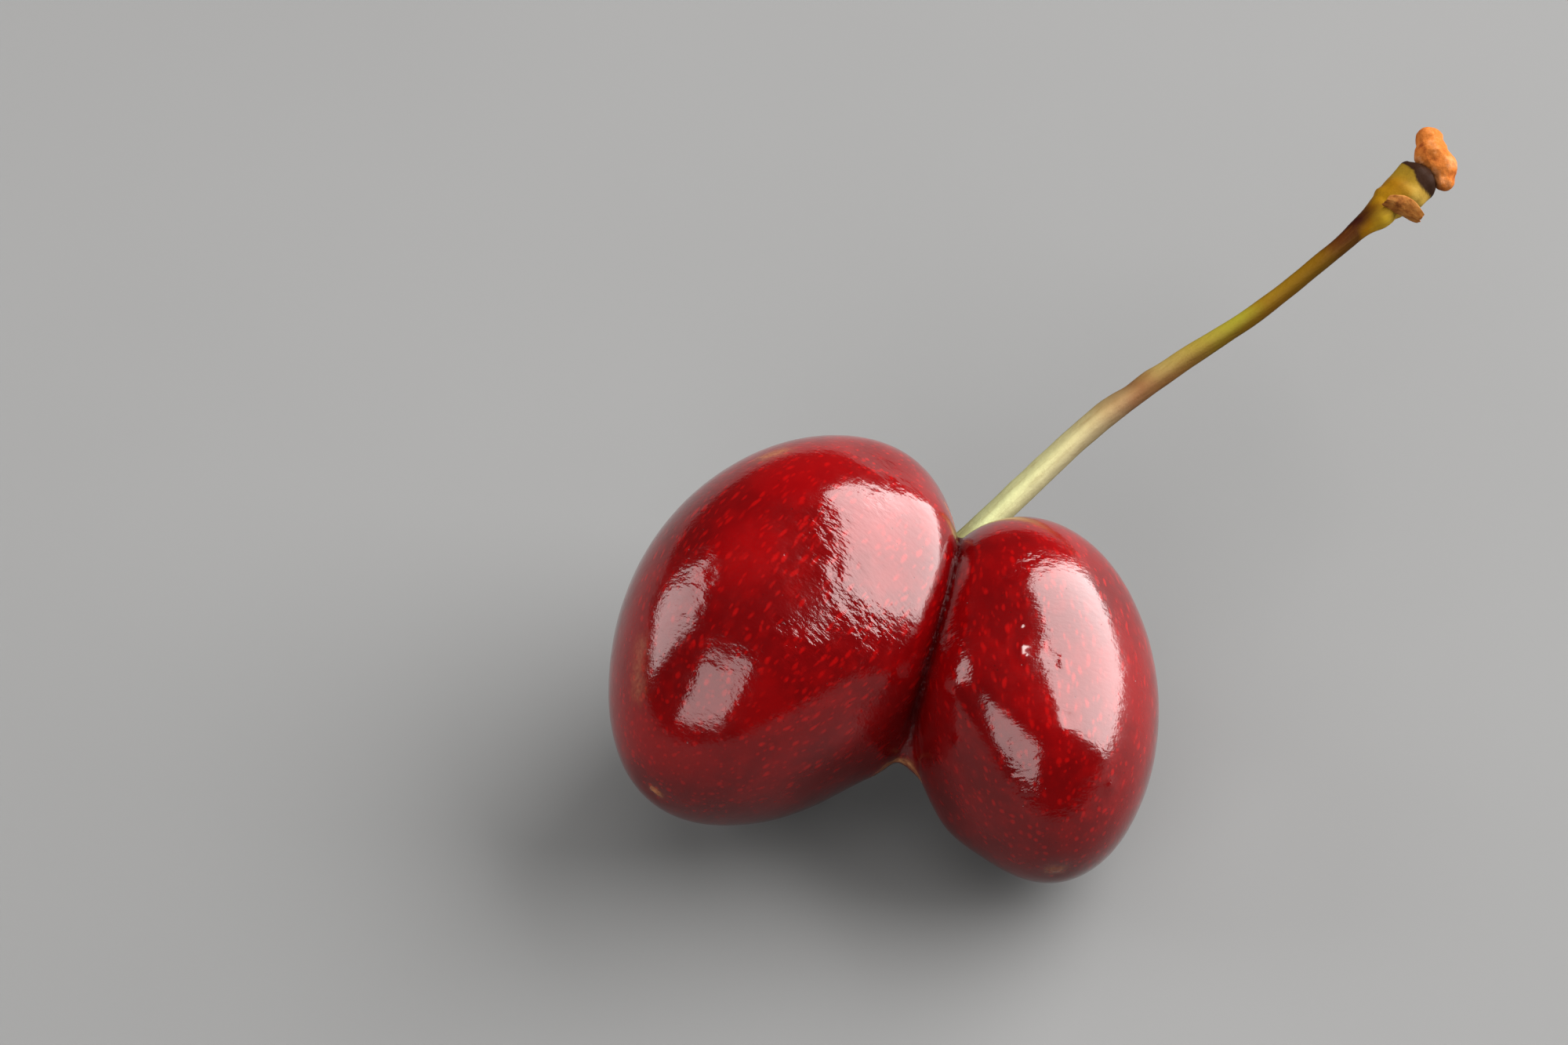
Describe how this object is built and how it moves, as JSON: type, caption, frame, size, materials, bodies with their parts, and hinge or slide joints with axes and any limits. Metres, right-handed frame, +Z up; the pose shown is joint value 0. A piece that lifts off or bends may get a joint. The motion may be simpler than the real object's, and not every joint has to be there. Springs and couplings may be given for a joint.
{
  "type": "twin sweet cherry with stem",
  "caption": "Two dark red sweet cherries grown together into one glossy fruit on a single long stem, lying on a table.",
  "frame": {"origin": "centre of the bounding box in X and Y, on the surface that the fruit lies on (z = 0)", "axes": "+Z up from the resting surface; +X from the larger lobe past the smaller lobe to the stem's far end; +Y from the blossom ends of the lobes, at the front, towards the stem, at the back"},
  "size_m": [0.0526, 0.0492, 0.0214],
  "materials": {
    "cherry_skin": "very glossy dark red skin with lighter red flecks",
    "stem_green": "satin yellow-green stalk, browner towards the collar",
    "spur_cork": "matt orange-brown cork",
    "bud_scale": "dry matt reddish brown"
  },
  "bodies": {
    "root": {"twin_fruit": "cherry_skin", "stem": "stem_green", "spur_cork": "spur_cork", "bud_scale": "bud_scale"}
  },
  "joints": []
}
